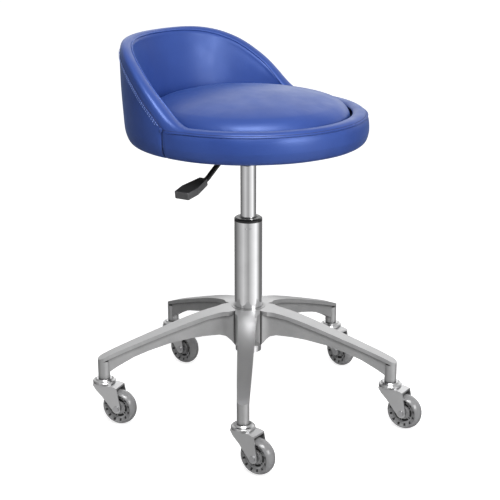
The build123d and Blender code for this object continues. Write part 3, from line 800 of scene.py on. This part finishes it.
def gather_tack(name, centre):
    """Star of long stitches that gathers the covers where three seams meet."""
    bm = bmesh.new()
    out = outward_of(centre)
    tangent = out.cross(UP)
    middle = centre + out * TACK_LIFT * MM
    for k in range(TACK_ARMS):
        a = math.pi * k / TACK_ARMS + TACK_TURN
        arm = (tangent * math.cos(a) + UP * math.sin(a)) * TACK_ARM * MM
        stitch(bm, middle - arm, middle + arm, out, TACK_THICK)
    make(name, bm, welt_vinyl)


for centre, word in zip(seam_points, ("left", "right")):
    gather_tack(f"gather_tack_{word}", centre)


# ------------------------------------------------------------------ small details
def lathe(name, profile, centre, axis, material, body, count=40):
    """Closed ring or disc turned about an axis from (radius, offset) points in mm."""
    bm = bmesh.new()
    axis = axis.normalized()
    side = sideways(axis)
    up = axis.cross(side)
    rings = []
    for k in range(count):
        a = 2 * math.pi * k / count
        spoke = side * math.cos(a) + up * math.sin(a)
        rings.append([bm.verts.new(centre + (spoke * r + axis * offset) * MM) for r, offset in profile])
    size = len(profile)
    for k in range(count):
        one, two = rings[k], rings[(k + 1) % count]
        for j in range(size):
            n = (j + 1) % size
            bm.faces.new((one[j], two[j], two[n], one[n]))
    return make(name, bm, material, body=body)


SLOT_SHADE_IN, SLOT_SHADE_OUT, SLOT_SHADE_HALF = 11.4, 18.6, 5.0   # radii of a black disc inside each wheel, painted shade for the core's slots, and half its width
LUG_IN, LUG_OUT = 20.0, 24.0
LUG_HALF_IN, LUG_HALF_OUT = 1.6, 2.1  # half a lug's width at either end
LUG_BACK, LUG_PROUD = -0.8, 0.12      # its two faces, from the tyre's side
TYRE_SIDE, TYRE_SIDE_R, TYRE_FLARE = 8.5, 19.5, 2.5 / 4.5   # the tyre's side: offset, radius and slope


def lug_marks(name, centre, axis, body, count=12):
    """Dark lugs of the core that show through the side of the tyre."""
    bm = bmesh.new()
    axis = axis.normalized()
    side = sideways(axis)
    up = axis.cross(side)
    for face in (-1, 1):
        for k in range(count):
            a = 2 * math.pi * (k + 0.5) / count
            spoke = side * math.cos(a) + up * math.sin(a)
            turn = axis.cross(spoke)
            outline = ((LUG_IN, -LUG_HALF_IN), (LUG_IN, LUG_HALF_IN),
                       (LUG_OUT, LUG_HALF_OUT), (LUG_OUT, -LUG_HALF_OUT))
            corners = []
            for proud in (LUG_BACK, LUG_PROUD):
                for r, wide in outline:
                    offset = TYRE_SIDE + (r - TYRE_SIDE_R) * TYRE_FLARE + proud
                    place = spoke * r + turn * wide + axis * face * offset
                    corners.append(bm.verts.new(centre + place * MM))
            low, high = corners[:4], corners[4:]
            bm.faces.new(low[::-1])
            bm.faces.new(high)
            for j in range(4):
                n = (j + 1) % 4
                bm.faces.new((low[j], low[n], high[n], high[j]))
    return make(name, bm, rubber, body=body)


SLOT_SHADE_SECTION = ((SLOT_SHADE_IN, -SLOT_SHADE_HALF), (SLOT_SHADE_OUT, -SLOT_SHADE_HALF), (SLOT_SHADE_OUT, SLOT_SHADE_HALF), (SLOT_SHADE_IN, SLOT_SHADE_HALF))
for joint in frame["joints"]:
    if joint["name"].startswith("wheel_spin_"):
        number = joint["name"].rsplit("_", 1)[1]
        centre, axis = Vector(joint["pos_m"]), Vector(joint["axis"])
        # painted shade: a black disc inside the core makes its slots read as deep dark recesses
        lathe(f"wheel_slot_shade_{number}", SLOT_SHADE_SECTION, centre, axis, rubber, joint["child"])
        lug_marks(f"core_lugs_{number}", centre, axis, joint["child"])

TUBE_R, PUNCH_Z = 25.0, 342
PUNCH_SPREAD = 9          # degrees of each mark from the tube's face toward the photograph's camera
PUNCH_HALF, PUNCH_THICK = 2.2, 0.45


def punch_marks():
    """Two short raised marks near the top of the column tube."""
    bm = bmesh.new()
    for offset in (-PUNCH_SPREAD, PUNCH_SPREAD):
        a = math.radians(270 - CAMERA_TURN + offset)
        out = Vector((math.cos(a), math.sin(a), 0))
        half = out.cross(UP) * PUNCH_HALF * MM
        middle = (out * TUBE_R + UP * PUNCH_Z) * MM
        stitch(bm, middle - half, middle + half, out, PUNCH_THICK)
    make("column_punch_marks", bm, steel, body="base")


punch_marks()

# ------------------------------------------------------------------ floor and light
FLOOR_GLOW = 0.76         # keeps the floor near white to the eye
FLOOR_R = 16.0            # metres, so that its edge stays out of sight
FLOOR_DROP = 0.4 * MM     # a hair below the wheels, so that no surfaces coincide
bm = bmesh.new()
bmesh.ops.create_circle(bm, cap_ends=True, segments=96, radius=FLOOR_R)
pale = Mat("floor", (0.60, 0.60, 0.60), 0.8, Emission_Color=(1, 1, 1, 1))
glow = pale.add("ShaderNodeMath", operation="MULTIPLY")
pale.link(pale.add("ShaderNodeLightPath").outputs["Is Camera Ray"], glow.inputs[0])
glow.inputs[1].default_value = FLOOR_GLOW
pale.link(glow.outputs["Value"], pale.shader.inputs["Emission Strength"])
floor = make("floor", bm, pale.mat, body=None)
floor.location.z = -FLOOR_DROP
floor.visible_glossy = False


def softbox(name, place, target, size, power, color=(1, 1, 1)):
    data = bpy.data.lights.new(name, "AREA")
    data.shape = "RECTANGLE"
    data.size, data.size_y = size
    data.energy = power
    data.color = color
    light = bpy.data.objects.new(name, data)
    light.location = place
    light.visible_camera = False
    light.rotation_euler = (Vector(target) - Vector(place)).to_track_quat("-Z", "Y").to_euler()
    scene.collection.objects.link(light)


softbox("key_light", (-1.1, -0.85, 2.3), (0, 0, 0.5), (1.3, 0.8), 52)
softbox("side_light", (-0.6, -2.3, 1.10), (0, 0, 0.58), (1.1, 0.7), 26)
softbox("fill_light", (-2.2, 0.8, 1.3), (0, 0, 0.4), (0.5, 1.0), 2)

# brightness round the horizon and higher up, by place round the full turn
WORLD_BANDS = ((0.0, 0.60), (0.086, 0.38), (0.235, 1.05), (0.272, 1.2), (0.311, 0.80), (0.38, 0.22),
               (0.442, 0.18), (0.586, 0.30), (0.73, 0.12), (0.85, 0.36), (0.972, 0.68), (1.0, 0.60))
SKY_BANDS = ((0.0, 0.25), (0.17, 0.45), (0.25, 0.60), (0.40, 0.6), (0.50, 1.35), (0.60, 1.5), (0.68, 0.7),
             (0.76, 0.35), (1.0, 0.25))
CEILING = 0.7
DIFFUSE_SHARE = 0.55      # how much of the surroundings lights matt surfaces


def studio_world():
    """Soft studio surroundings: light and dark walls round the object, a bright ceiling."""
    world = bpy.data.worlds.new("studio")
    scene.world = world
    world.use_nodes = True
    tree = world.node_tree
    add, link = tree.nodes.new, tree.links.new
    background = tree.nodes["Background"]
    coords = add("ShaderNodeTexCoord").outputs["Generated"]
    radial = add("ShaderNodeTexGradient")
    radial.gradient_type = "RADIAL"
    link(coords, radial.inputs["Vector"])
    split = add("ShaderNodeSeparateXYZ")
    link(coords, split.inputs["Vector"])

    def bands(stops):
        ramp = add("ShaderNodeValToRGB")
        fill_ramp(ramp, stops)
        link(radial.outputs["Fac"], ramp.inputs["Fac"])
        return ramp.outputs["Color"]

    def layer(factor, below, above, kind="MIX"):
        node = add("ShaderNodeMix")
        node.data_type = "RGBA"
        node.blend_type = kind
        link(factor, node.inputs["Factor"])
        sockets = [s for s in node.inputs if s.type == "RGBA"]
        link(below, sockets[0])
        if isinstance(above, float):
            sockets[1].default_value = (above, above, above, 1)
        else:
            link(above, sockets[1])
        return [s for s in node.outputs if s.type == "RGBA"][0]

    def rising(low, high):
        height = add("ShaderNodeMapRange")
        height.inputs["From Min"].default_value = low
        height.inputs["From Max"].default_value = high
        link(split.outputs["Z"], height.inputs["Value"])
        return height.outputs["Result"]

    path = add("ShaderNodeLightPath")
    color = layer(rising(-0.02, 0.08), bands(WORLD_BANDS), bands(SKY_BANDS))
    color = layer(rising(0.45, 0.8), color, CEILING)
    color = layer(path.outputs["Is Diffuse Ray"], color, DIFFUSE_SHARE, "MULTIPLY")
    color = layer(path.outputs["Is Camera Ray"], color, 1.0)
    link(color, background.inputs["Color"])


studio_world()
